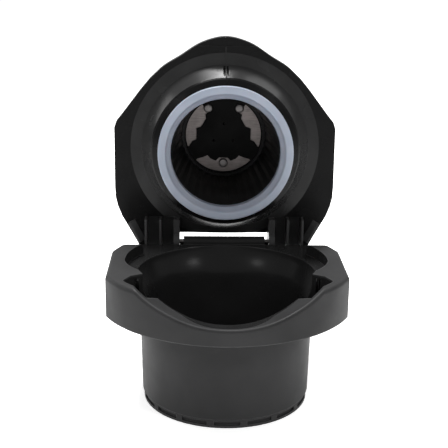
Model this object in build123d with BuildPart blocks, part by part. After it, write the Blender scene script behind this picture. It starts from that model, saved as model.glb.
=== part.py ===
from build123d import *
import os

os.makedirs("parts", exist_ok=True)

# Frame: millimetres, +X right, +Y towards the hinge, +Z up, origin on the cup axis at the resting plane.

# ---- holder flange and cup ----
flange_top = 37.0
flange_bottom = 26.0
flange_half_width = 30.75
flange_side_front_y = -11.44
flange_side_back_y = 9.5
flange_corner_x = 28.4
flange_back_y = 15.3
flange_front_y = -31.35
flange_corner_round = 1.8
flange_edge_round = 1.2
front_arc_radius = 33.7
front_arc_center_y = 2.35
cup_outer_radius = 22.5
cup_foot_radius = 22.15
cup_land_z = 16.0
cup_foot_z = 2.1
cup_foot_chamfer = 0.3
cup_floor_z = 4.6
bowl_rim_radius = 23.6
bowl_rim_z = 33.9
bowl_waist_radius = 20.9
bowl_waist_z = 25.0
bowl_floor_radius = 20.3

# ---- shallow recess in the flange top ----
recess_half_width = 26.7
recess_front_depth = 17.4
recess_rear_depth = 25.0
recess_center_y = 2.0
recess_rear_y = 15.8

# ---- scooped front: (x, depth below the flange top) on two upright planes across the front ----
scoop_front_y = -33.0
scoop_front_curve = [
    (0, 6.2), (5.0, 5.87), (9.8, 4.88), (13.5, 3.58), (16.95, 2.13),
    (19.4, 0.95), (22.0, -0.58), (24.0, -1.74),
]
scoop_bowl_y = -12.0
scoop_bowl_curve = [
    (0, 11.87), (5.0, 11.37), (9.8, 9.73), (13.5, 7.68), (16.95, 5.41),
    (19.4, 3.68), (22.0, 1.52), (24.0, -0.06),
]
scoop_headroom = 8.0
scoop_edge_round = 0.7
scoop_rim_back_y = -24.0

# ---- front pockets beside the scoop ----
pocket_back_y = -10.0
pocket_outline = [
    (15.1, pocket_back_y), (23.7, -32.0), (25.9, -32.0), (25.9, -14.9), (24.4, -11.9), (21.4, pocket_back_y),
]
pocket_floor_z = 29.0
skirt_thickness = 2.0
slot_depth_y = 3.2
slot_overrun = 1.5
slot_ceiling_z = 36.0
slot_spans = [(22.35, 23.4), (23.95, 26.0)]

# ---- hinge ----
hinge_y = 26.7
hinge_z = 34.2
pin_radius = 0.6
pin_chamfer = 0.15
pin_half_length = 14.3
running_clearance = 0.05
knuckle_half_width = 11.6
knuckle_radius = 1.45
knuckle_base_half_width = 12.7
knuckle_base_z = 33.6
knuckle_back_y = 28.2
rear_block_half_width = 24.8
rear_floor_y = 24.2
rear_shelf_y = 30.2
rear_shelf_z = 31.7
rear_corner_round = 2.0

# ---- outlet at the bottom of the cup ----
outlet_ring_radius = 21.8
outlet_ring_bore = 18.6
outlet_window_count = 16
outlet_window_deg = 18.0
outlet_window_depth = 0.6
outlet_window_low_z = 0.65
outlet_window_high_z = 1.75
drain_radius = 3.0
screen_radius = 19.4
screen_thickness = 0.8
screen_hole_radius = 0.55
screen_rings = [(4.5, 8), (8.5, 14), (12.5, 20), (16.0, 26)]
seal_height = 1.6
seal_width = 1.6
seal_round = 0.5

# ---- lid, drawn standing open; s is the height above the hinge axis ----
lid_gap_closed = 1.05
lid_face_y = hinge_y + flange_top + lid_gap_closed - hinge_z
lid_thickness = 3.0
lid_low_points = [
    (24.4, -3.0), (25.0, -1.65), (26.25, 0.7), (27.76, 3.4), (29.5, 6.5), (30.6, 9.4), (31.2, 12.0),
]
lid_high_points = [
    (31.35, 15.0), (31.3, 32.2), (30.7, 34.0), (29.3, 35.7), (23.87, 42.8), (21.2, 46.0), (18.35, 48.7),
]
lid_tab_points = [
    (15.2, 50.9), (13.3, 52.0), (11.6, 53.1), (9.4, 54.6), (7.5, 55.7), (4.75, 56.8), (0.0, 57.7),
]
tab_step_s = 55.2
tab_step_depth = 0.3
gusset_foot = (24.7, -1.5)
gusset_length = 6.6
gusset_lean_deg = 27.8
gusset_section = [(0.0, 0.0), (2.4, 0.0), (0.7, 1.4), (0.0, 1.4)]
cutout_half_width = 12.8
cutout_top_s = 1.5
cutout_reach = 12.0
boss_s = hinge_y
boss_z = hinge_z + boss_s
boss_profile = [(26.8, 0.0), (23.6, 1.0), (20.7, 6.6), (20.3, 7.1), (18.8, 8.2)]
ring_seat_h = 6.2
chamber_bore_radius = 16.2
housing_radius = 18.4
housing_end_radius = 17.2
housing_flange_radius = 20.4
housing_flange_thickness = 1.4
housing_rim_chamfer = (0.6, 1.0)
housing_length = 20.6

# ---- weld seam and notch at the top of the boss: (radius, h) outlines ----
seam_width = 0.25
seam_outline = [
    (28.3, -0.5), (28.3, 0.15), (26.85, 0.15), (23.6, 1.15), (20.8, 6.75),
    (19.8, 6.2), (22.4, 0.4), (26.0, -0.5),
]
notch_width = 1.4
notch_outline = [(22.66, 1.24), (24.1, 1.94), (22.0, 6.24), (20.56, 5.54)]

# ---- lugs on the lower edge of the lid ----
rib_spans = [(12.8, 14.5), (18.0, 18.6), (22.2, 22.8)]
rib_bottom_s = -2.3
rib_top_s = 6.3
rib_height = 3.7
rib_pocket_depth = 1.8
lug_radius = 2.2

# ---- parts set into the lid boss; h is measured out of the lid face, towards the cup ----
seal_ring_outer = 18.75
seal_ring_inner = 15.2
seal_ring_face_h = 9.6
seal_edge_chamfer = 0.4
seal_step_radius = 16.5
seal_step_h = 9.05
seal_lip_h = 8.5
chamber_mouth_radius = 15.2
chamber_end_radius = 12.3
ledge_radius = 11.7
ledge_height = 0.8
flute_count = 36
flute_depth = 0.3
plate_h = -18.6
plate_radius = 12.2
plate_thickness = 0.8
plate_window_radius = 11.3
window_arc_steps = 24
spider_thickness = 0.6
chamber_ledge_h = plate_h + spider_thickness + ledge_height
bottom_window = [
    (-47, 10.7), (-42, 9.2), (-37, 7.8), (-29, 8.2), (-16, 8.2), (-11, 7.1),
    (11, 7.1), (16, 8.2), (29, 8.2), (37, 7.8), (42, 9.2), (47, 10.7),
]
side_window = [
    (-25, 8.2), (-18, 8.2), (-13, 7.2), (11, 7.2), (16.5, 8.4), (40.5, 8.3), (42.5, 9.6), (49, 10.9),
]
water_hole_radius = 0.3
water_hole_count = 3
water_hole_circle = 3.4
stake_radius = 1.3
stake_shank_radius = 0.65
stake_height = 1.1
stake_head_round = 0.3
stake_positions = [(60, 9.4), (120, 9.4), (270, 8.6)]
cap_thickness = 2.4
inlet_radius = 1.6
inlet_boss_radius = 4.0
inlet_boss_flare = 1.0
inlet_boss_length = 2.6
inlet_seal_thickness = 1.2
housing_end_h = -lid_thickness - housing_length

upright_profile = Plane.XZ
lid_plane = Plane(origin=(0, lid_face_y, hinge_z), x_dir=(1, 0, 0), z_dir=(0, -1, 0))
boss_plane = Plane(origin=(0, lid_face_y, boss_z), x_dir=(1, 0, 0), z_dir=(0, -1, 0))
boss_section = Plane(origin=(0, lid_face_y, boss_z), x_dir=(1, 0, 0), z_dir=(0, 0, -1))
boss_axis = Axis((0, lid_face_y, boss_z), (0, 1, 0))


def polar_point(radius, angle_deg):
    """Point on a circle about the sketch origin, as a pair."""
    point = Vector(radius, 0, 0).rotate(Axis.Z, angle_deg)
    return (point.X, point.Y)


def fluted_circle(radius):
    """Corner points of a circle with shallow pointed flutes all round."""
    step_deg = 180 / flute_count
    return [polar_point(radius + flute_depth * (i % 2), i * step_deg) for i in range(2 * flute_count)]


def window_outline(middle_deg, inner_edge, side=1):
    """Corner points of one opening in the spider; side=-1 mirrors the opening about its middle."""
    inner = [polar_point(radius, middle_deg + side * angle) for angle, radius in inner_edge]
    start, end = inner_edge[-1][0], inner_edge[0][0]
    turns = [start + (end - start) * i / window_arc_steps for i in range(window_arc_steps + 1)]
    outer = [polar_point(plate_window_radius, middle_deg + side * angle) for angle in turns]
    return inner + outer


def boss_side_face(outline):
    """Sketch (radius, h) points of the boss on the middle plane, above the boss axis."""
    return Polygon(*[(lid_face_y - h, boss_z + radius) for radius, h in outline], align=None)


# ---------------------------------------------------------------- holder
with BuildPart() as holder_body:
    with BuildSketch(Plane.XY.offset(flange_bottom)):
        with BuildLine():
            Polyline(
                (flange_half_width, flange_side_front_y),
                (flange_half_width, flange_side_back_y),
                (flange_corner_x, flange_back_y),
                (-flange_corner_x, flange_back_y),
                (-flange_half_width, flange_side_back_y),
                (-flange_half_width, flange_side_front_y),
            )
            ThreePointArc(
                (-flange_half_width, flange_side_front_y),
                (0, flange_front_y),
                (flange_half_width, flange_side_front_y),
            )
        make_face()
    extrude(amount=flange_top - flange_bottom)
    fillet(holder_body.edges().filter_by(Axis.Z), flange_corner_round)
    fillet(holder_body.faces().sort_by(Axis.Z)[-1].edges(), flange_edge_round)

    # cup below the flange
    with BuildSketch(upright_profile):
        with BuildLine():
            Polyline(
                (0, cup_foot_z),
                (cup_foot_radius, cup_foot_z),
                (cup_outer_radius, cup_land_z),
                (cup_outer_radius, flange_bottom + 1),
                (0, flange_bottom + 1),
                close=True,
            )
        make_face()
    revolve(axis=Axis.Z)
    chamfer(holder_body.edges().sort_by(Axis.Z)[0], cup_foot_chamfer)

    # rear floor, shelf under the lid and hinge knuckle
    with BuildSketch(Plane.XY.offset(flange_bottom)):
        with Locations((0, flange_side_back_y)):
            rear_block_depth = rear_floor_y - flange_side_back_y
            Rectangle(2 * rear_block_half_width, rear_block_depth, align=(Align.CENTER, Align.MIN))
    extrude(amount=bowl_rim_z - flange_bottom)
    with BuildSketch(Plane.XY.offset(flange_bottom)):
        with Locations((0, flange_back_y)):
            shelf_depth = rear_shelf_y - flange_back_y
            Rectangle(2 * rear_block_half_width, shelf_depth, align=(Align.CENTER, Align.MIN))
        fillet(vertices().group_by(Axis.Y)[-1], rear_corner_round)
    extrude(amount=rear_shelf_z - flange_bottom)
    with BuildSketch(Plane.XY.offset(flange_bottom)):
        with Locations((0, flange_back_y)):
            base_depth = knuckle_back_y - flange_back_y
            Rectangle(2 * knuckle_base_half_width, base_depth, align=(Align.CENTER, Align.MIN))
    extrude(amount=knuckle_base_z - flange_bottom)
    with BuildSketch(Plane.YZ.offset(-knuckle_half_width)):
        with Locations((hinge_y, hinge_z)):
            Circle(knuckle_radius)
        with Locations((hinge_y, hinge_z)):
            Rectangle(2 * knuckle_radius, hinge_z - bowl_rim_z + 2, align=(Align.CENTER, Align.MAX))
    extrude(amount=2 * knuckle_half_width)

    # shallow oval recess, open towards the hinge
    with BuildSketch(Plane.XY.offset(bowl_rim_z)):
        with Locations((0, recess_center_y)):
            Ellipse(recess_half_width, recess_rear_depth)
            Rectangle(
                2 * recess_half_width,
                recess_rear_y - recess_center_y,
                align=(Align.CENTER, Align.MIN),
                mode=Mode.INTERSECT,
            )
            Ellipse(recess_half_width, recess_front_depth)
    extrude(amount=flange_top - bowl_rim_z, mode=Mode.SUBTRACT)

    # bowl: wide at the rim, curving into a nearly straight cup
    with BuildSketch(upright_profile):
        with BuildLine():
            Spline(
                (bowl_rim_radius, bowl_rim_z),
                (bowl_waist_radius, bowl_waist_z),
                tangents=((-0.1, -1), (-0.03, -1)),
            )
            Polyline(
                (bowl_waist_radius, bowl_waist_z),
                (bowl_floor_radius, cup_floor_z),
                (0, cup_floor_z),
                (0, flange_top + 1),
                (bowl_rim_radius, flange_top + 1),
                (bowl_rim_radius, bowl_rim_z),
            )
        make_face()
    revolve(axis=Axis.Z, mode=Mode.SUBTRACT)

    # scoop cut down into the front edge, steeper in the middle than at its ends
    for scoop_y, curve in ((scoop_front_y, scoop_front_curve), (scoop_bowl_y, scoop_bowl_curve)):
        right_edge = [(x, -depth) for x, depth in curve]
        left_edge = [(-x, -depth) for x, depth in reversed(curve[1:])]
        with BuildSketch(Plane(origin=(0, scoop_y, flange_top), x_dir=(-1, 0, 0), z_dir=(0, 1, 0))):
            with BuildLine():
                Spline(*(left_edge + right_edge))
                Polyline(
                    right_edge[-1],
                    (right_edge[-1][0], scoop_headroom),
                    (left_edge[0][0], scoop_headroom),
                    left_edge[0],
                )
            make_face()
    loft(ruled=True, mode=Mode.SUBTRACT)

    front_edges = holder_body.edges().filter_by_position(Axis.Y, flange_front_y - 1, scoop_rim_back_y)
    fillet(front_edges.filter_by_position(Axis.Z, flange_bottom + 2, flange_top), scoop_edge_round)

    # open pockets between bowl wall and skirt, with two dark slots running under the top plate
    for side in (1, -1):
        with BuildSketch(Plane.XY.offset(pocket_floor_z)):
            Polygon(*[(side * x, y) for x, y in pocket_outline], align=None)
            with Locations((0, front_arc_center_y)):
                Circle(front_arc_radius - skirt_thickness, mode=Mode.INTERSECT)
        extrude(amount=flange_top + 1 - pocket_floor_z, mode=Mode.SUBTRACT)
        for near_x, far_x in slot_spans:
            with BuildSketch(Plane.XY.offset(pocket_floor_z)):
                with Locations((side * (near_x + far_x) / 2, pocket_back_y - slot_overrun)):
                    Rectangle(far_x - near_x, slot_depth_y + slot_overrun, align=(Align.CENTER, Align.MIN))
            extrude(amount=slot_ceiling_z - pocket_floor_z, mode=Mode.SUBTRACT)

    # pin hole through the knuckle and drain through the cup floor
    with BuildSketch(Plane.YZ.offset(-knuckle_half_width - 1)):
        with Locations((hinge_y, hinge_z)):
            Circle(pin_radius)
    extrude(amount=2 * knuckle_half_width + 2, mode=Mode.SUBTRACT)
    with BuildSketch(Plane.XY.offset(cup_foot_z - 1)):
        Circle(drain_radius)
    extrude(amount=cup_floor_z - cup_foot_z + 2, mode=Mode.SUBTRACT)
holder_body.part.label = "holder_body"

with BuildPart() as outlet_ring:
    with BuildSketch():
        Circle(outlet_ring_radius)
        Circle(outlet_ring_bore, mode=Mode.SUBTRACT)
    extrude(amount=cup_foot_z)
    with BuildSketch(Plane.XY.offset(outlet_window_low_z)):
        with PolarLocations(0, outlet_window_count, start_angle=270):
            Polygon(
                (0, 0),
                polar_point(2 * outlet_ring_radius, -outlet_window_deg / 2),
                polar_point(2 * outlet_ring_radius, outlet_window_deg / 2),
                align=None,
            )
        Circle(outlet_ring_radius - outlet_window_depth, mode=Mode.SUBTRACT)
    extrude(amount=outlet_window_high_z - outlet_window_low_z, mode=Mode.SUBTRACT)
outlet_ring.part.label = "outlet_ring"

with BuildPart() as screen_seal:
    with BuildSketch(upright_profile):
        with Locations((screen_radius - seal_width / 2, cup_floor_z + seal_height / 2)):
            RectangleRounded(seal_width, seal_height, seal_round)
    revolve(axis=Axis.Z)
screen_seal.part.label = "screen_seal"

with BuildPart() as outlet_screen:
    with BuildSketch(Plane.XY.offset(cup_floor_z + seal_height)):
        Circle(screen_radius)
        for ring_radius, hole_count in screen_rings:
            with PolarLocations(ring_radius, hole_count):
                Circle(screen_hole_radius, mode=Mode.SUBTRACT)
    extrude(amount=screen_thickness)
outlet_screen.part.label = "outlet_screen"

with BuildPart() as hinge_pin:
    with BuildSketch(Plane.YZ.offset(-pin_half_length)):
        with Locations((hinge_y, hinge_z)):
            Circle(pin_radius)
    extrude(amount=2 * pin_half_length)
    chamfer(hinge_pin.edges(), pin_chamfer)
hinge_pin.part.label = "hinge_pin"

# ---------------------------------------------------------------- lid
lid_right = lid_low_points + lid_high_points
lid_left = [(-x, s) for x, s in reversed(lid_right)]
lid_crown = [(x, s) for x, s in lid_tab_points] + [(-x, s) for x, s in reversed(lid_tab_points[:-1])]

with BuildPart() as lid_shell:
    # flat plate with rounded tab
    with BuildSketch(lid_plane):
        with BuildLine():
            Polyline(*lid_right)
            Spline(lid_right[-1], *lid_crown, lid_left[0])
            Polyline(*lid_left, lid_right[0])
        make_face()
    extrude(amount=-lid_thickness)
    with BuildSketch(lid_plane.offset(-tab_step_depth)):
        with Locations((0, tab_step_s)):
            Rectangle(2 * lid_tab_points[0][0], cutout_reach, align=(Align.CENTER, Align.MIN))
    extrude(amount=lid_thickness, mode=Mode.SUBTRACT)

    # faceted boss in front of the plate
    with BuildSketch(boss_section):
        with BuildLine():
            Polyline(
                (0, -lid_thickness),
                (boss_profile[0][0], -lid_thickness),
                *boss_profile,
                (seal_ring_outer, boss_profile[-1][1]),
                (seal_ring_outer, ring_seat_h),
                (0, ring_seat_h),
                close=True,
            )
        make_face()
    revolve(axis=boss_axis)

    # moulding notch and weld seam at the top of the boss
    with BuildSketch(Plane.YZ):
        boss_side_face(notch_outline)
    extrude(amount=notch_width / 2, both=True, mode=Mode.SUBTRACT)
    with BuildSketch(Plane.YZ):
        boss_side_face(seam_outline)
    extrude(amount=seam_width / 2, both=True)

    # wedge-shaped gussets inside the lower corners
    for side in (1, -1):
        along = Vector(0, 0, 1).rotate(Axis.Y, side * gusset_lean_deg)
        inward = Vector(-side, 0, 0).rotate(Axis.Y, side * gusset_lean_deg)
        foot = (side * gusset_foot[0], lid_face_y, hinge_z + gusset_foot[1])
        with BuildSketch(Plane(origin=foot, x_dir=inward, z_dir=along)):
            Polygon(*[(across, side * height) for across, height in gusset_section], align=None)
        extrude(amount=gusset_length)

    # middle cutout around the knuckle
    with BuildSketch(lid_plane):
        with Locations((0, cutout_top_s)):
            Rectangle(2 * cutout_half_width, cutout_reach, align=(Align.CENTER, Align.MAX))
    extrude(amount=cutout_reach, both=True, mode=Mode.SUBTRACT)

    # bore that takes the chamber
    with BuildSketch(boss_plane.offset(-lid_thickness)):
        Circle(chamber_bore_radius)
    extrude(amount=ring_seat_h + lid_thickness, mode=Mode.SUBTRACT)

    # pockets between the ribs
    for side in (1, -1):
        for inner, outer in ((rib_spans[0], rib_spans[1]), (rib_spans[1], rib_spans[2])):
            with BuildSketch(lid_plane.offset(-rib_pocket_depth)):
                with Locations((side * (inner[1] + outer[0]) / 2, rib_top_s)):
                    Rectangle(outer[0] - inner[1], cutout_reach, align=(Align.CENTER, Align.MAX))
            extrude(amount=cutout_reach, mode=Mode.SUBTRACT)
        for near_x, far_x in rib_spans:
            with BuildSketch(lid_plane.offset(-rib_pocket_depth)):
                with Locations((side * (near_x + far_x) / 2, rib_bottom_s)):
                    Rectangle(far_x - near_x, rib_top_s - rib_bottom_s, align=(Align.CENTER, Align.MIN))
            extrude(amount=rib_pocket_depth + rib_height)

    # round lugs on the inner ribs, with the pin holes
    lug_span = rib_spans[0]
    for start_x in (lug_span[0], -lug_span[1]):
        with BuildSketch(Plane.YZ.offset(start_x)):
            with Locations((hinge_y, hinge_z)):
                Circle(lug_radius)
        extrude(amount=lug_span[1] - lug_span[0])
    with BuildSketch(Plane.YZ.offset(-lug_span[1] - 1)):
        with Locations((hinge_y, hinge_z)):
            Circle(pin_radius + running_clearance)
    extrude(amount=2 * lug_span[1] + 2, mode=Mode.SUBTRACT)
lid_shell.part.label = "lid_shell"

with BuildPart() as rear_housing:
    with BuildSketch(boss_section):
        with BuildLine():
            Polyline(
                (chamber_bore_radius, -lid_thickness),
                (housing_flange_radius, -lid_thickness),
                (housing_flange_radius, -lid_thickness - housing_flange_thickness),
                (housing_radius, -lid_thickness - housing_flange_thickness),
                (housing_end_radius, housing_end_h + housing_rim_chamfer[1]),
                (housing_end_radius - housing_rim_chamfer[0], housing_end_h),
                (chamber_bore_radius, housing_end_h),
                close=True,
            )
        make_face()
    revolve(axis=boss_axis)
rear_housing.part.label = "rear_housing"

with BuildPart() as capsule_chamber:
    with BuildSketch(boss_section):
        with BuildLine():
            Polyline(
                (chamber_mouth_radius, ring_seat_h),
                (chamber_bore_radius, ring_seat_h),
                (chamber_bore_radius, housing_end_h + cap_thickness),
                (plate_radius, housing_end_h + cap_thickness),
                (plate_radius, plate_h + spider_thickness),
                (ledge_radius, plate_h + spider_thickness),
                (ledge_radius, chamber_ledge_h),
                (chamber_end_radius, chamber_ledge_h),
                close=True,
            )
        make_face()
    revolve(axis=boss_axis)
    # long flutes down the tapered wall
    with BuildSketch(boss_plane.offset(ring_seat_h)):
        Polygon(*fluted_circle(chamber_mouth_radius), align=None)
    with BuildSketch(boss_plane.offset(chamber_ledge_h)):
        Polygon(*fluted_circle(chamber_end_radius), align=None)
    loft(ruled=True, mode=Mode.SUBTRACT)
capsule_chamber.part.label = "capsule_chamber"

with BuildPart() as seal_ring:
    with BuildSketch(boss_section):
        with BuildLine():
            Polyline(
                (seal_ring_inner, ring_seat_h),
                (seal_ring_outer, ring_seat_h),
                (seal_ring_outer, seal_ring_face_h - seal_edge_chamfer),
                (seal_ring_outer - seal_edge_chamfer, seal_ring_face_h),
                (seal_step_radius, seal_ring_face_h),
                (seal_step_radius, seal_step_h),
                (seal_ring_inner, seal_lip_h),
                close=True,
            )
        make_face()
    revolve(axis=boss_axis)
seal_ring.part.label = "seal_ring"

with BuildPart() as piercing_plate:
    with BuildSketch(boss_plane.offset(plate_h - plate_thickness)):
        Circle(plate_radius)
        with PolarLocations(water_hole_circle, water_hole_count, start_angle=90):
            Circle(water_hole_radius, mode=Mode.SUBTRACT)
        for angle, radius in stake_positions:
            with Locations(polar_point(radius, angle)):
                Circle(stake_shank_radius, mode=Mode.SUBTRACT)
    extrude(amount=plate_thickness)
piercing_plate.part.label = "piercing_plate"

with BuildPart() as retaining_spider:
    with BuildSketch(boss_plane.offset(plate_h)):
        Circle(plate_radius)
        with PolarLocations(water_hole_circle, water_hole_count, start_angle=90):
            Circle(water_hole_radius, mode=Mode.SUBTRACT)
        Polygon(*window_outline(270, bottom_window), align=None, mode=Mode.SUBTRACT)
        Polygon(*window_outline(150, side_window), align=None, mode=Mode.SUBTRACT)
        Polygon(*window_outline(30, side_window, side=-1), align=None, mode=Mode.SUBTRACT)
        for angle, radius in stake_positions:
            with Locations(polar_point(radius, angle)):
                Circle(stake_radius, mode=Mode.SUBTRACT)
    extrude(amount=spider_thickness)
retaining_spider.part.label = "retaining_spider"

with BuildPart() as inlet_cap:
    with BuildSketch(boss_section):
        with BuildLine():
            Polyline(
                (inlet_radius, housing_end_h + cap_thickness),
                (chamber_bore_radius, housing_end_h + cap_thickness),
                (chamber_bore_radius, housing_end_h),
                (inlet_boss_radius + inlet_boss_flare, housing_end_h),
                (inlet_boss_radius, housing_end_h - inlet_boss_length),
                (inlet_radius, housing_end_h - inlet_boss_length),
                close=True,
            )
        make_face()
    revolve(axis=boss_axis)
inlet_cap.part.label = "inlet_cap"

with BuildPart() as inlet_seal:
    with BuildSketch(boss_section):
        with Locations(((inlet_radius + inlet_boss_radius) / 2, housing_end_h - inlet_boss_length)):
            Rectangle(inlet_boss_radius - inlet_radius, inlet_seal_thickness, align=(Align.CENTER, Align.MAX))
    revolve(axis=boss_axis)
inlet_seal.part.label = "inlet_seal"

stakes = []
for number, (angle, radius) in enumerate(stake_positions, start=1):
    with BuildPart() as stake:
        with BuildSketch(boss_plane.offset(plate_h - plate_thickness)):
            with Locations(polar_point(radius, angle)):
                Circle(stake_shank_radius)
        extrude(amount=plate_thickness + stake_height)
        with BuildSketch(boss_plane.offset(plate_h)):
            with Locations(polar_point(radius, angle)):
                Circle(stake_radius)
        extrude(amount=stake_height)
        fillet(stake.edges().sort_by(Axis.Y)[0], stake_head_round)
    stake.part.label = f"stake_pin_{number}"
    stakes.append(stake)

for piece in [holder_body, outlet_ring, screen_seal, outlet_screen, hinge_pin, lid_shell, rear_housing,
              capsule_chamber, seal_ring, piercing_plate, retaining_spider, inlet_cap, inlet_seal] + stakes:
    export_step(piece.part, f"parts/{piece.part.label}.step")
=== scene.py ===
import math

import bmesh
import bpy
from mathutils import Matrix, Vector


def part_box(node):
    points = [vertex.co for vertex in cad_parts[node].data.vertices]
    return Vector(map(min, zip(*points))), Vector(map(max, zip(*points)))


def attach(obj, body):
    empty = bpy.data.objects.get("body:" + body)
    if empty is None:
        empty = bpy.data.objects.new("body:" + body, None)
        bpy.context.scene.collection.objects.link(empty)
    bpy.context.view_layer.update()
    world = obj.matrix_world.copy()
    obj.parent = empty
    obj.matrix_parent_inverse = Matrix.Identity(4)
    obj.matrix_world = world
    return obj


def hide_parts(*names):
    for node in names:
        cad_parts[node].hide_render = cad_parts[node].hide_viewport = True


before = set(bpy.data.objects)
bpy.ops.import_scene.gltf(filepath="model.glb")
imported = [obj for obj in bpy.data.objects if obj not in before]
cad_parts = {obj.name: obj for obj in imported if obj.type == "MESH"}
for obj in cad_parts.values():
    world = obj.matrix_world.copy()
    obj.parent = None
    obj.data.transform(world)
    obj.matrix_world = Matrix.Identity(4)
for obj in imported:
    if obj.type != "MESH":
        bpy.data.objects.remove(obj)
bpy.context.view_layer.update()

MM = 0.001

# The soft ring is centred on the boss, and its front face stands RING_PROUD in front of the lid's plate.
RING_PROUD = 9.6 * MM
ring_low, ring_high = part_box("seal_ring")
boss_centre = ((ring_low[0] + ring_high[0]) / 2, 0, (ring_low[2] + ring_high[2]) / 2)
lid_face_y = ring_low[1] + RING_PROUD


# ---------------------------------------------------------------- node helpers
MID_NOISE = (0.3, 0.7)          # the range that most noise values fall in
BEVEL_SAMPLES = 8
FLAT_COSINE = 0.985             # true against softened normal, where a face counts as flat
EDGE_COSINE = 0.86              # the same, where it counts as fully on an edge


def new_material(name):
    """An empty node material with a Principled shader wired to its output."""
    mat = bpy.data.materials.new(name)
    mat.use_nodes = True
    nodes, links = mat.node_tree.nodes, mat.node_tree.links
    nodes.clear()
    out = nodes.new("ShaderNodeOutputMaterial")
    bsdf = nodes.new("ShaderNodeBsdfPrincipled")
    links.new(bsdf.outputs[0], out.inputs[0])
    return mat, nodes, links, bsdf


def object_place(nodes):
    """The coordinates of a surface point, in the object's own axes."""
    return nodes.new("ShaderNodeTexCoord").outputs["Object"]


def components(nodes, links, vector):
    """The x, y and z outputs of a vector."""
    split = nodes.new("ShaderNodeSeparateXYZ")
    links.new(vector, split.inputs[0])
    return tuple(split.outputs[name] for name in "XYZ")


def noise(nodes, links, vector, scale, detail=3.0):
    """A noise texture on the given coordinates; returns its grey output."""
    node = nodes.new("ShaderNodeTexNoise")
    node.inputs["Scale"].default_value = scale
    node.inputs["Detail"].default_value = detail
    links.new(vector, node.inputs["Vector"])
    return node.outputs["Fac"]


def ramp(nodes, links, value, low, high, colour_low, colour_high):
    """Two-colour ramp between two positions."""
    node = nodes.new("ShaderNodeValToRGB")
    node.color_ramp.elements[0].position = low
    node.color_ramp.elements[0].color = (*colour_low, 1)
    node.color_ramp.elements[1].position = high
    node.color_ramp.elements[1].color = (*colour_high, 1)
    links.new(value, node.inputs["Fac"])
    return node.outputs["Color"]


def remap(nodes, links, value, from_min, from_max, to_min, to_max):
    """Clamped linear remap of a grey value."""
    node = nodes.new("ShaderNodeMapRange")
    limits = {"From Min": from_min, "From Max": from_max, "To Min": to_min, "To Max": to_max}
    for socket, number in limits.items():
        node.inputs[socket].default_value = number
    links.new(value, node.inputs["Value"])
    return node.outputs[0]


def math_node(nodes, links, operation, first, second):
    """One arithmetic node; either input may be a number or an output."""
    node = nodes.new("ShaderNodeMath")
    node.operation = operation
    for socket, value in zip(node.inputs, (first, second)):
        if isinstance(value, (int, float)):
            socket.default_value = value
        else:
            links.new(value, socket)
    return node.outputs[0]


def blend_colour(nodes, links, factor, first, second):
    """Mix of two colours; each is an output or a plain colour."""
    node = nodes.new("ShaderNodeMix")
    node.data_type = "RGBA"
    links.new(factor, node.inputs["Factor"])
    for socket, value in ((node.inputs["A"], first), (node.inputs["B"], second)):
        if isinstance(value, tuple):
            socket.default_value = (*value, 1)
        else:
            links.new(value, socket)
    return node.outputs["Result"]


def bump(nodes, links, height, distance, strength, normal=None):
    """Bump from a grey height, on top of another normal when one is given."""
    node = nodes.new("ShaderNodeBump")
    node.inputs["Distance"].default_value = distance
    node.inputs["Strength"].default_value = strength
    links.new(height, node.inputs["Height"])
    if normal is not None:
        links.new(normal, node.inputs["Normal"])
    return node.outputs[0]


def rounded_edges(nodes, links, radius):
    """Softened normal at edges, and a grey mask that is 1 on the edge and 0 away from it."""
    bevel = nodes.new("ShaderNodeBevel")
    bevel.samples = BEVEL_SAMPLES
    bevel.inputs["Radius"].default_value = radius
    geometry = nodes.new("ShaderNodeNewGeometry")
    facing = nodes.new("ShaderNodeVectorMath")
    facing.operation = "DOT_PRODUCT"
    links.new(bevel.outputs[0], facing.inputs[0])
    links.new(geometry.outputs["Normal"], facing.inputs[1])
    return bevel.outputs[0], remap(nodes, links, facing.outputs["Value"], FLAT_COSINE, EDGE_COSINE, 0, 1)


def distance_from(nodes, links, first, second, centre):
    """Distance of two coordinate outputs from a centre given as a pair."""
    pair = nodes.new("ShaderNodeCombineXYZ")
    links.new(first, pair.inputs["X"])
    links.new(second, pair.inputs["Y"])
    gap = nodes.new("ShaderNodeVectorMath")
    gap.operation = "DISTANCE"
    gap.inputs[1].default_value = (centre[0], centre[1], 0)
    links.new(pair.outputs[0], gap.inputs[0])
    return gap.outputs["Value"]


def all_of(nodes, links, tests):
    """Product of comparisons, each (value, operation, limit)."""
    result = None
    for value, operation, limit in tests:
        mask = math_node(nodes, links, operation, value, limit)
        result = mask if result is None else math_node(nodes, links, "MULTIPLY", result, mask)
    return result


def any_of(nodes, links, masks):
    """Largest of several masks."""
    result = masks[0]
    for mask in masks[1:]:
        result = math_node(nodes, links, "MAXIMUM", result, mask)
    return result


# ---------------------------------------------------------------- zones with their own gloss and with painted shade, sheen and highlight in their colour
# The limits that tell each zone from its neighbours stand a little off the surfaces themselves.
# Holder: radii from the cup's axis unless another centre is given, heights from the resting plane.
BOWL_LOWER_RADIUS = 21.5 * MM
BOWL_UPPER_RADIUS = 23.75 * MM
BOWL_CHANGE = (25.4 * MM, 25.6 * MM)        # heights over which the lower radius gives way to the upper
BOWL_BOTTOM = 3.2 * MM

RECESS_HALF_WIDTH = 26.9 * MM
RECESS_FRONT = 17.6 * MM
RECESS_BACK = 25.3 * MM
RECESS_CENTRE_Y = 2.0 * MM
RECESS_TURN = (1.9 * MM, 2.1 * MM)          # where the front half of the oval gives way to the back half
RECESS_BOTTOM, RECESS_TOP = 33.5 * MM, 36.85 * MM

SHELF_FRONT = 15.4 * MM
SHELF_BOTTOM = 31.2 * MM

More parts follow.
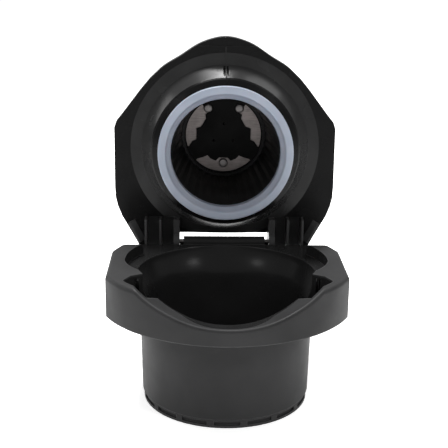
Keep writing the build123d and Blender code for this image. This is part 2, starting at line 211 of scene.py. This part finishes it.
POCKET_INNER = 23.65 * MM
POCKET_OUTER = 31.75 * MM
POCKET_OUTER_CENTRE_Y = 2.35 * MM
POCKET_BACK = -9.9 * MM
POCKET_TOP = 36.5 * MM
POCKET_FLOOR_TOP = 30 * MM
UPRIGHT_NORMAL_Z = 0.5                      # a face whose normal points up less than this is a wall
MASK_ON = 0.5                               # a mask above this is taken as set

# Lid: radii from the boss's axis, widths from the middle, depths from the plate's face.
BAND_INNER, BAND_OUTER = 20.75 * MM, 26.85 * MM
BAND_PROUD = 0.02 * MM

RIBS_FROM_MIDDLE = 12.7 * MM
RIBS_BELOW_BOSS_CENTRE = 20.3 * MM
RIB_MARGIN = 0.15 * MM
GAP_DEPTH = 1.9 * MM
GAPS_FROM_MIDDLE = 22.3 * MM


def hollow_shade_zone(nodes, links, where):
    """The holder's hollows: bowl, recess, hinge shelf and the pockets beside the scoop, darkened as painted
    shade.
    """
    x, y, z = components(nodes, links, where)
    from_axis = distance_from(nodes, links, x, y, (0, 0))
    wall = remap(nodes, links, z, *BOWL_CHANGE, BOWL_LOWER_RADIUS, BOWL_UPPER_RADIUS)
    bowl = all_of(nodes, links, ((from_axis, "LESS_THAN", wall), (z, "GREATER_THAN", BOWL_BOTTOM)))

    depth = remap(nodes, links, y, *RECESS_TURN, RECESS_FRONT, RECESS_BACK)
    behind_centre = math_node(nodes, links, "SUBTRACT", y, RECESS_CENTRE_Y)
    along = math_node(nodes, links, "DIVIDE", behind_centre, depth)
    across = math_node(nodes, links, "DIVIDE", x, RECESS_HALF_WIDTH)
    oval = distance_from(nodes, links, across, along, (0, 0))
    recess = all_of(nodes, links, (
        (oval, "LESS_THAN", 1), (z, "GREATER_THAN", RECESS_BOTTOM), (z, "LESS_THAN", RECESS_TOP)))
    shelf = all_of(nodes, links, ((y, "GREATER_THAN", SHELF_FRONT), (z, "GREATER_THAN", SHELF_BOTTOM)))

    normal = nodes.new("ShaderNodeNewGeometry").outputs["Normal"]
    normal_z = components(nodes, links, normal)[2]
    upright = math_node(nodes, links, "LESS_THAN", normal_z, UPRIGHT_NORMAL_Z)
    low = math_node(nodes, links, "LESS_THAN", z, POCKET_FLOOR_TOP)
    skirt = distance_from(nodes, links, x, y, (0, POCKET_OUTER_CENTRE_Y))
    pocket = all_of(nodes, links, (
        (skirt, "LESS_THAN", POCKET_OUTER), (y, "LESS_THAN", POCKET_BACK),
        (from_axis, "GREATER_THAN", POCKET_INNER), (z, "LESS_THAN", POCKET_TOP),
        (any_of(nodes, links, (upright, low)), "GREATER_THAN", MASK_ON)))
    return any_of(nodes, links, (bowl, recess, shelf, pocket))


def boss_band_sheen_zone(nodes, links, where):
    """The two sloping bands of the lid's boss, made paler as painted sheen."""
    x, y, z = components(nodes, links, where)
    radius = distance_from(nodes, links, x, z, (0, boss_centre[2]))
    return all_of(nodes, links, (
        (radius, "GREATER_THAN", BAND_INNER), (radius, "LESS_THAN", BAND_OUTER),
        (y, "LESS_THAN", lid_face_y - BAND_PROUD)))


def rib_painted_light_zone(nodes, links, where):
    """The ribs under the boss, the gaps between them and the corner gussets, made paler as painted highlight
    on ribs and gussets and painted light in the gaps.
    """
    x, y, z = components(nodes, links, where)
    across = math_node(nodes, links, "ABSOLUTE", x, 0)
    low = all_of(nodes, links, (
        (across, "GREATER_THAN", RIBS_FROM_MIDDLE),
        (z, "LESS_THAN", boss_centre[2] - RIBS_BELOW_BOSS_CENTRE)))
    proud = math_node(nodes, links, "LESS_THAN", y, lid_face_y - RIB_MARGIN)
    sunk = all_of(nodes, links, (
        (y, "GREATER_THAN", lid_face_y + RIB_MARGIN), (y, "LESS_THAN", lid_face_y + GAP_DEPTH),
        (across, "LESS_THAN", GAPS_FROM_MIDDLE)))
    return math_node(nodes, links, "MULTIPLY", low, any_of(nodes, links, (proud, sunk)))


# ---------------------------------------------------------------- materials
CLOUD_SCALE, CLOUD_DETAIL = 60, 5
CLOUD_RANGE = (0.32, 0.70)      # noise values that get the dark and the base colour
PATCH_SCALE = 380               # how finely the paler edges, rubbing and painted edge highlight, are broken up
GLOSS_SCALE, GLOSS_DETAIL = 140, 4
GLOSS_SPREAD = 0.06
GRAIN_STRENGTH = 0.5
ZONE_EDGE_PALE_SHARE = 0.3               # share of the paler edges, rubbing and painted edge highlight, that is left inside a zone

LIP_EDGE = (16.45 * MM, 16.85 * MM)         # radii over which the painted shade on the soft ring's lip gives way to its face colour
STREAK_STRETCH = (1, 1, 14)
STREAK_RANGE = (0.38, 0.62)                 # mixed noise values that get the dark and the base colour
SCRATCH_SHARE, BLOTCH_SHARE = 0.4, 0.6
STEEL_SPREAD = 0.08


def plastic(name, dark, base, edge_colour, edge_amount, rough, spec, grain, edge_radius, zones=()):
    """Moulded plastic: cloudy colour, fine grain, uneven gloss and paler edges that are partly rubbing and
    partly painted highlight.

    grain is (scale, height); each zone is (mask function, dark, base, rough) for a part of the surface.
    """
    mat, nodes, links, bsdf = new_material(name)
    where = object_place(nodes)
    normal, edge = rounded_edges(nodes, links, edge_radius)

    cloud = noise(nodes, links, where, CLOUD_SCALE, CLOUD_DETAIL)
    colour = ramp(nodes, links, cloud, *CLOUD_RANGE, dark, base)
    # paler edges: partly rubbing, partly painted highlight along the rounded edges
    patches = noise(nodes, links, where, PATCH_SCALE)
    edge_wear_and_highlight = math_node(nodes, links, "MULTIPLY", edge, patches)
    edge_wear_and_highlight = math_node(nodes, links, "MULTIPLY", edge_wear_and_highlight, edge_amount)
    uneven = noise(nodes, links, where, GLOSS_SCALE, GLOSS_DETAIL)
    gloss = remap(nodes, links, uneven, *MID_NOISE, rough - GLOSS_SPREAD, rough + GLOSS_SPREAD)
    for mask_of, zone_dark, zone_base, zone_rough in zones:
        inside = mask_of(nodes, links, where)
        zone_colour = ramp(nodes, links, cloud, *CLOUD_RANGE, zone_dark, zone_base)
        colour = blend_colour(nodes, links, inside, colour, zone_colour)
        shift = math_node(nodes, links, "MULTIPLY", inside, zone_rough - rough)
        gloss = math_node(nodes, links, "ADD", gloss, shift)
        kept = remap(nodes, links, inside, 0, 1, 1, ZONE_EDGE_PALE_SHARE)
        edge_wear_and_highlight = math_node(nodes, links, "MULTIPLY", edge_wear_and_highlight, kept)
    colour = blend_colour(nodes, links, edge_wear_and_highlight, colour, edge_colour)
    links.new(colour, bsdf.inputs["Base Color"])
    links.new(gloss, bsdf.inputs["Roughness"])
    grain_scale, grain_height = grain
    fine = noise(nodes, links, where, grain_scale)
    links.new(bump(nodes, links, fine, grain_height, GRAIN_STRENGTH, normal), bsdf.inputs["Normal"])
    bsdf.inputs["Specular IOR Level"].default_value = spec
    return mat


def silicone():
    """Milky soft rubber with a little light under its skin; its inner lip has a darker copy of its colour as
    painted shade, for the dark showing through the thin lip.
    """
    mat, nodes, links, bsdf = new_material("silicone_milky")
    where = object_place(nodes)
    cloud = noise(nodes, links, where, scale=160, detail=4)
    face = ramp(nodes, links, cloud, *MID_NOISE, (0.27, 0.305, 0.375), (0.31, 0.345, 0.415))
    # darker copy of the same silicone on the inner lip: painted shade
    lip = ramp(nodes, links, cloud, *MID_NOISE, (0.18, 0.20, 0.25), (0.21, 0.23, 0.28))
    x, _, z = components(nodes, links, where)
    radius = distance_from(nodes, links, x, z, (0, boss_centre[2]))
    outside = remap(nodes, links, radius, *LIP_EDGE, 0, 1)
    links.new(blend_colour(nodes, links, outside, lip, face), bsdf.inputs["Base Color"])
    uneven = noise(nodes, links, where, scale=300)
    gloss = remap(nodes, links, uneven, *MID_NOISE, to_min=0.34, to_max=0.46)
    links.new(gloss, bsdf.inputs["Roughness"])
    bsdf.inputs["Subsurface Weight"].default_value = 0.12
    bsdf.inputs["Subsurface Scale"].default_value = 0.6 * MM
    skin = noise(nodes, links, where, scale=1800)
    links.new(bump(nodes, links, skin, distance=0.02 * MM, strength=0.3), bsdf.inputs["Normal"])
    return mat


def steel(name, dark, base, rough, scratch_scale):
    """Stainless sheet or wire: streaky tone, fine scratches and uneven gloss."""
    mat, nodes, links, bsdf = new_material(name)
    where = object_place(nodes)
    stretch = nodes.new("ShaderNodeMapping")
    stretch.inputs["Scale"].default_value = STREAK_STRETCH
    links.new(where, stretch.inputs["Vector"])
    scratch = noise(nodes, links, stretch.outputs[0], scratch_scale, detail=6)
    blotch = noise(nodes, links, where, scale=260, detail=4)
    scratch_part = math_node(nodes, links, "MULTIPLY", scratch, SCRATCH_SHARE)
    blotch_part = math_node(nodes, links, "MULTIPLY", blotch, BLOTCH_SHARE)
    mixed = math_node(nodes, links, "ADD", scratch_part, blotch_part)
    colour = ramp(nodes, links, mixed, *STREAK_RANGE, dark, base)
    links.new(colour, bsdf.inputs["Base Color"])
    bsdf.inputs["Metallic"].default_value = 1.0
    gloss = remap(nodes, links, mixed, *MID_NOISE, rough - STEEL_SPREAD, rough + STEEL_SPREAD)
    links.new(gloss, bsdf.inputs["Roughness"])
    links.new(bump(nodes, links, scratch, distance=0.01 * MM, strength=0.25), bsdf.inputs["Normal"])
    return mat


BODY = plastic(
    "body_charcoal", dark=(0.020, 0.020, 0.0204), base=(0.028, 0.028, 0.0285),
    edge_colour=(0.12, 0.12, 0.12), edge_amount=0.8, rough=0.52, spec=0.13,
    grain=(2600, 0.02 * MM), edge_radius=0.5 * MM,
    # the hollows get a darker colour as painted shade, and a glossier finish
    zones=((hollow_shade_zone, (0.0135, 0.0135, 0.0135), (0.0185, 0.0185, 0.0187), 0.22),))
RING = plastic(
    "ring_charcoal", dark=(0.024, 0.024, 0.0245), base=(0.032, 0.032, 0.0325),
    edge_colour=(0.12, 0.12, 0.12), edge_amount=1.0, rough=0.52, spec=0.13,
    grain=(2600, 0.02 * MM), edge_radius=0.25 * MM)
LID = plastic(
    "lid_black", dark=(0.0038, 0.0038, 0.0039), base=(0.0050, 0.0050, 0.0051),
    edge_colour=(0.10, 0.10, 0.10), edge_amount=0.6, rough=0.27, spec=0.08,
    grain=(1500, 0.004 * MM), edge_radius=0.2 * MM,
    # the boss bands get a paler colour as painted sheen
    zones=((boss_band_sheen_zone, (0.016, 0.016, 0.0162), (0.029, 0.029, 0.0292), 0.23),
           # ribs and gussets get a paler colour as painted highlight, and the gaps between the ribs as
           # painted light
           (rib_painted_light_zone, (0.036, 0.036, 0.0365), (0.052, 0.052, 0.0525), 0.32)))
CHAMBER = plastic(
    "chamber_black", dark=(0.007, 0.007, 0.007), base=(0.010, 0.010, 0.010),
    edge_colour=(0.03, 0.03, 0.03), edge_amount=0.6, rough=0.42, spec=0.15,
    grain=(1800, 0.01 * MM), edge_radius=0.2 * MM)
SPIDER = plastic(
    "spider_black", dark=(0.003, 0.003, 0.003), base=(0.0045, 0.0045, 0.0045),
    edge_colour=(0.02, 0.02, 0.02), edge_amount=0.4, rough=0.45, spec=0.06,
    grain=(1800, 0.01 * MM), edge_radius=0.15 * MM)
RUBBER = plastic(
    "rubber_black", dark=(0.012, 0.012, 0.012), base=(0.016, 0.016, 0.016),
    edge_colour=(0.03, 0.03, 0.03), edge_amount=0.4, rough=0.7, spec=0.3,
    grain=(1500, 0.02 * MM), edge_radius=0.2 * MM)
SILICONE = silicone()
STEEL = steel(
    "steel_sheet", dark=(0.16, 0.145, 0.14), base=(0.30, 0.27, 0.262), rough=0.5, scratch_scale=240)
PIN = steel(
    "steel_pin", dark=(0.125, 0.118, 0.116), base=(0.215, 0.205, 0.202), rough=0.42, scratch_scale=500)

finish_of = {
    "holder_body": BODY, "outlet_ring": RING, "screen_seal": RUBBER, "outlet_screen": STEEL, "hinge_pin": PIN,
    "lid_shell": LID, "rear_housing": LID, "capsule_chamber": CHAMBER, "seal_ring": SILICONE,
    "piercing_plate": STEEL, "retaining_spider": SPIDER, "inlet_cap": LID, "inlet_seal": RUBBER,
    "stake_pin_1": PIN, "stake_pin_2": PIN, "stake_pin_3": PIN,
}
for name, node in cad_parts.items():
    node.data.materials.clear()
    node.data.materials.append(finish_of[name])


# ---------------------------------------------------------------- turned pieces
CORNER_SHARE = 0.4              # the most of an edge that one rounded corner may take


def turned(name, profile, place, along, segments, finish):
    """Closed solid of revolution.

    profile is a list of (radius, height) points, either all off the axis or starting and ending on it.
    """
    mesh = bpy.data.meshes.new(name)
    bm = bmesh.new()
    side = Vector(along).normalized()
    first = side.orthogonal().normalized()
    second = side.cross(first)
    rings = []
    for radius, height in profile:
        centre = Vector(place) + side * height
        if radius == 0:
            rings.append([bm.verts.new(centre)])
            continue
        ring = []
        for step in range(segments):
            angle = 2 * math.pi * step / segments
            outward = first * math.cos(angle) + second * math.sin(angle)
            ring.append(bm.verts.new(centre + outward * radius))
        rings.append(ring)
    off_axis = profile[0][0] != 0
    pairs = list(zip(rings, rings[1:])) + ([(rings[-1], rings[0])] if off_axis else [])
    for low, high in pairs:
        for step in range(segments):
            after = (step + 1) % segments
            corners = [low[step % len(low)], low[after % len(low)],
                       high[after % len(high)], high[step % len(high)]]
            bm.faces.new(list(dict.fromkeys(corners)))
    bmesh.ops.recalc_face_normals(bm, faces=bm.faces)
    for face in bm.faces:
        face.smooth = True
    bm.to_mesh(mesh)
    bm.free()
    obj = bpy.data.objects.new(name, mesh)
    bpy.context.scene.collection.objects.link(obj)
    mesh.materials.append(finish)
    return obj


def rounded(points, radius, steps=4):
    """Closed outline with every corner rounded, each by at most the given radius."""
    result = []
    count = len(points)
    for i in range(count):
        before, here, after = (Vector(points[(i + k) % count]) for k in (-1, 0, 1))
        cut = min(radius, CORNER_SHARE * (here - before).length, CORNER_SHARE * (after - here).length)
        start = here + (before - here).normalized() * cut
        end = here + (after - here).normalized() * cut
        for step in range(steps + 1):
            t = step / steps
            result.append(tuple(start * (1 - t) ** 2 + here * 2 * t * (1 - t) + end * t ** 2))
    return result


# the soft ring, with a lip that steps down towards its hole
RING_SEGMENTS = 160
RING_CORNER = 0.35 * MM
RING_INNER = 15.2 * MM
LIP_STEPS = ((16.75, 0), (16.4, 0.5), (15.5, 0.85))     # radius and depth under the ring's face, in mm
LIP_DEPTH = 1.1 * MM
ring_outer = (ring_high[0] - ring_low[0]) / 2
ring_back, ring_front = ring_high[1], ring_low[1]
ring_deep = ring_back - ring_front
seal_outline = [
    (RING_INNER, 0.0), (ring_outer, 0.0), (ring_outer, ring_deep),
    *((radius * MM, ring_deep - depth * MM) for radius, depth in LIP_STEPS),
    (RING_INNER, ring_deep - LIP_DEPTH),
]
soft_ring = turned("silicone_ring", rounded(seal_outline, RING_CORNER),
                   (boss_centre[0], ring_back, boss_centre[2]), (0, -1, 0), RING_SEGMENTS, SILICONE)
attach(soft_ring, "lid")
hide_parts("seal_ring")

# the three round-headed pins
PIN_SEGMENTS = 40
SHANK_RADIUS = 0.65 * MM
HEAD_HEIGHT = 1.1 * MM
DOME_STEPS = ((1, 0.22), (0.95, 0.08), (0.85, 0.02), (0.4, 0))  # share of the head's radius, mm under its top
for number in (1, 2, 3):
    node_name = f"stake_pin_{number}"
    low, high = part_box(node_name)
    head = (high[0] - low[0]) / 2
    back = high[1] - low[1]
    neck = back - HEAD_HEIGHT
    dome = [(0, 0), (SHANK_RADIUS, 0), (SHANK_RADIUS, neck), (head, neck),
            *((head * share, back - under * MM) for share, under in DOME_STEPS), (0, back)]
    pin = turned(f"stake_head_{number}", dome, ((low[0] + high[0]) / 2, high[1], (low[2] + high[2]) / 2),
                 (0, -1, 0), PIN_SEGMENTS, PIN)
    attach(pin, "lid")
    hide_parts(node_name)

# the two black seals
WASHER_SEGMENTS = 96
WASHER_CORNER = 0.4 * MM
GASKET_WIDTH = 1.6 * MM
INLET_RADIUS = 1.6 * MM
for node_name, piece_name, along, body in (("screen_seal", "screen_gasket", (0, 0, 1), "holder"),
                                           ("inlet_seal", "inlet_washer", (0, 1, 0), "lid")):
    low, high = (Vector(corner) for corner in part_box(node_name))
    axis = Vector(along)
    deep = (high - low).dot(axis)
    outer = (high[0] - low[0]) / 2
    inner = outer - GASKET_WIDTH if body == "holder" else INLET_RADIUS
    middle = (low + high) / 2
    outline = rounded([(inner, 0), (outer, 0), (outer, deep), (inner, deep)], WASHER_CORNER)
    washer = turned(piece_name, outline, middle - axis * deep / 2, along, WASHER_SEGMENTS, RUBBER)
    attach(washer, body)
    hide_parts(node_name)


# ---------------------------------------------------------------- floor, light and camera
FLOOR_HALF = 4.0
FLOOR_CELLS = 4
FLOOR_GLOW = 0.6
WORLD_STRENGTH = 0.45
WHITE = (1, 1, 1, 1)
LIGHTS_AIM = (0, 0, 0.05)
LIGHTS = {                      # place, size and power
    "top_left": ((-0.09, 0.22, 0.585), (0.26, 0.06), 4.8),
    "top_right": ((0.35, 0.30, 0.50), (0.30, 0.30), 1.0),
    "front_left": ((-0.50, -0.42, 0.50), (0.15, 0.15), 0.8),
    "front_right": ((0.50, -0.42, 0.50), (0.15, 0.15), 1.1),
    "side_left": ((-0.62, 0.50, 0.35), (0.25, 0.35), 1.0),
}
CAMERA_AZIMUTH, CAMERA_ELEVATION, CAMERA_ROLL = -1.542, 16.2, 0.701
CAMERA_DISTANCE = 260 * MM
CAMERA_TARGET = (-0.806, 0, 47.097)         # in mm
CAMERA_SENSOR, CAMERA_LENS = 36, 80.73      # in mm
CAMERA_NEAR = 0.01


def grid_floor(half, z):
    """A plain pale floor at height z that reaches half to each side."""
    mesh = bpy.data.meshes.new("floor")
    bm = bmesh.new()
    bmesh.ops.create_grid(bm, x_segments=FLOOR_CELLS, y_segments=FLOOR_CELLS, size=half,
                          matrix=Matrix.Translation((0, 0, z)))
    bm.to_mesh(mesh)
    bm.free()
    obj = bpy.data.objects.new("floor", mesh)
    bpy.context.scene.collection.objects.link(obj)
    mat, nodes, links, bsdf = new_material("floor_white")
    cloud = noise(nodes, links, object_place(nodes), scale=12)
    colour = ramp(nodes, links, cloud, *MID_NOISE, (0.93, 0.93, 0.93), (0.95, 0.95, 0.95))
    links.new(colour, bsdf.inputs["Base Color"])
    bsdf.inputs["Roughness"].default_value = 0.9
    bsdf.inputs["Specular IOR Level"].default_value = 0.1
    bsdf.inputs["Emission Color"].default_value = WHITE
    bsdf.inputs["Emission Strength"].default_value = FLOOR_GLOW
    mesh.materials.append(mat)


def area_light(name, place, aim, size, power):
    """A soft rectangular light at place, pointed at aim."""
    data = bpy.data.lights.new(name, "AREA")
    data.shape = "RECTANGLE"
    data.size, data.size_y = size
    data.energy = power
    obj = bpy.data.objects.new(name, data)
    bpy.context.scene.collection.objects.link(obj)
    obj.location = place
    obj.rotation_mode = "QUATERNION"
    obj.rotation_quaternion = (Vector(aim) - Vector(place)).to_track_quat("-Z", "Y")


def photo_camera():
    """The camera: it looks a little down, from just left of the middle."""
    azimuth, elevation, roll = (math.radians(a) for a in (CAMERA_AZIMUTH, CAMERA_ELEVATION, CAMERA_ROLL))
    target = Vector(CAMERA_TARGET) * MM
    back = Vector((math.sin(azimuth) * math.cos(elevation), -math.cos(azimuth) * math.cos(elevation),
                   math.sin(elevation)))
    right = Vector((math.cos(azimuth), math.sin(azimuth), 0))
    up = right.cross(-back)
    right, up = right * math.cos(roll) + up * math.sin(roll), up * math.cos(roll) - right * math.sin(roll)
    data = bpy.data.cameras.new("camera")
    data.sensor_width = CAMERA_SENSOR
    data.lens = CAMERA_LENS
    data.clip_start = CAMERA_NEAR
    obj = bpy.data.objects.new("camera", data)
    bpy.context.scene.collection.objects.link(obj)
    turn = Matrix((right, up, back)).transposed().to_4x4()
    obj.matrix_world = Matrix.Translation(target + back * CAMERA_DISTANCE) @ turn
    bpy.context.scene.camera = obj


grid_floor(FLOOR_HALF, 0.0)
world = bpy.data.worlds.new("studio")
world.use_nodes = True
background = world.node_tree.nodes["Background"]
background.inputs["Color"].default_value = WHITE
background.inputs["Strength"].default_value = WORLD_STRENGTH
bpy.context.scene.world = world
bpy.context.scene.view_settings.view_transform = "Standard"
for light_name, (light_place, light_size, light_power) in LIGHTS.items():
    area_light(light_name, light_place, LIGHTS_AIM, light_size, light_power)
photo_camera()
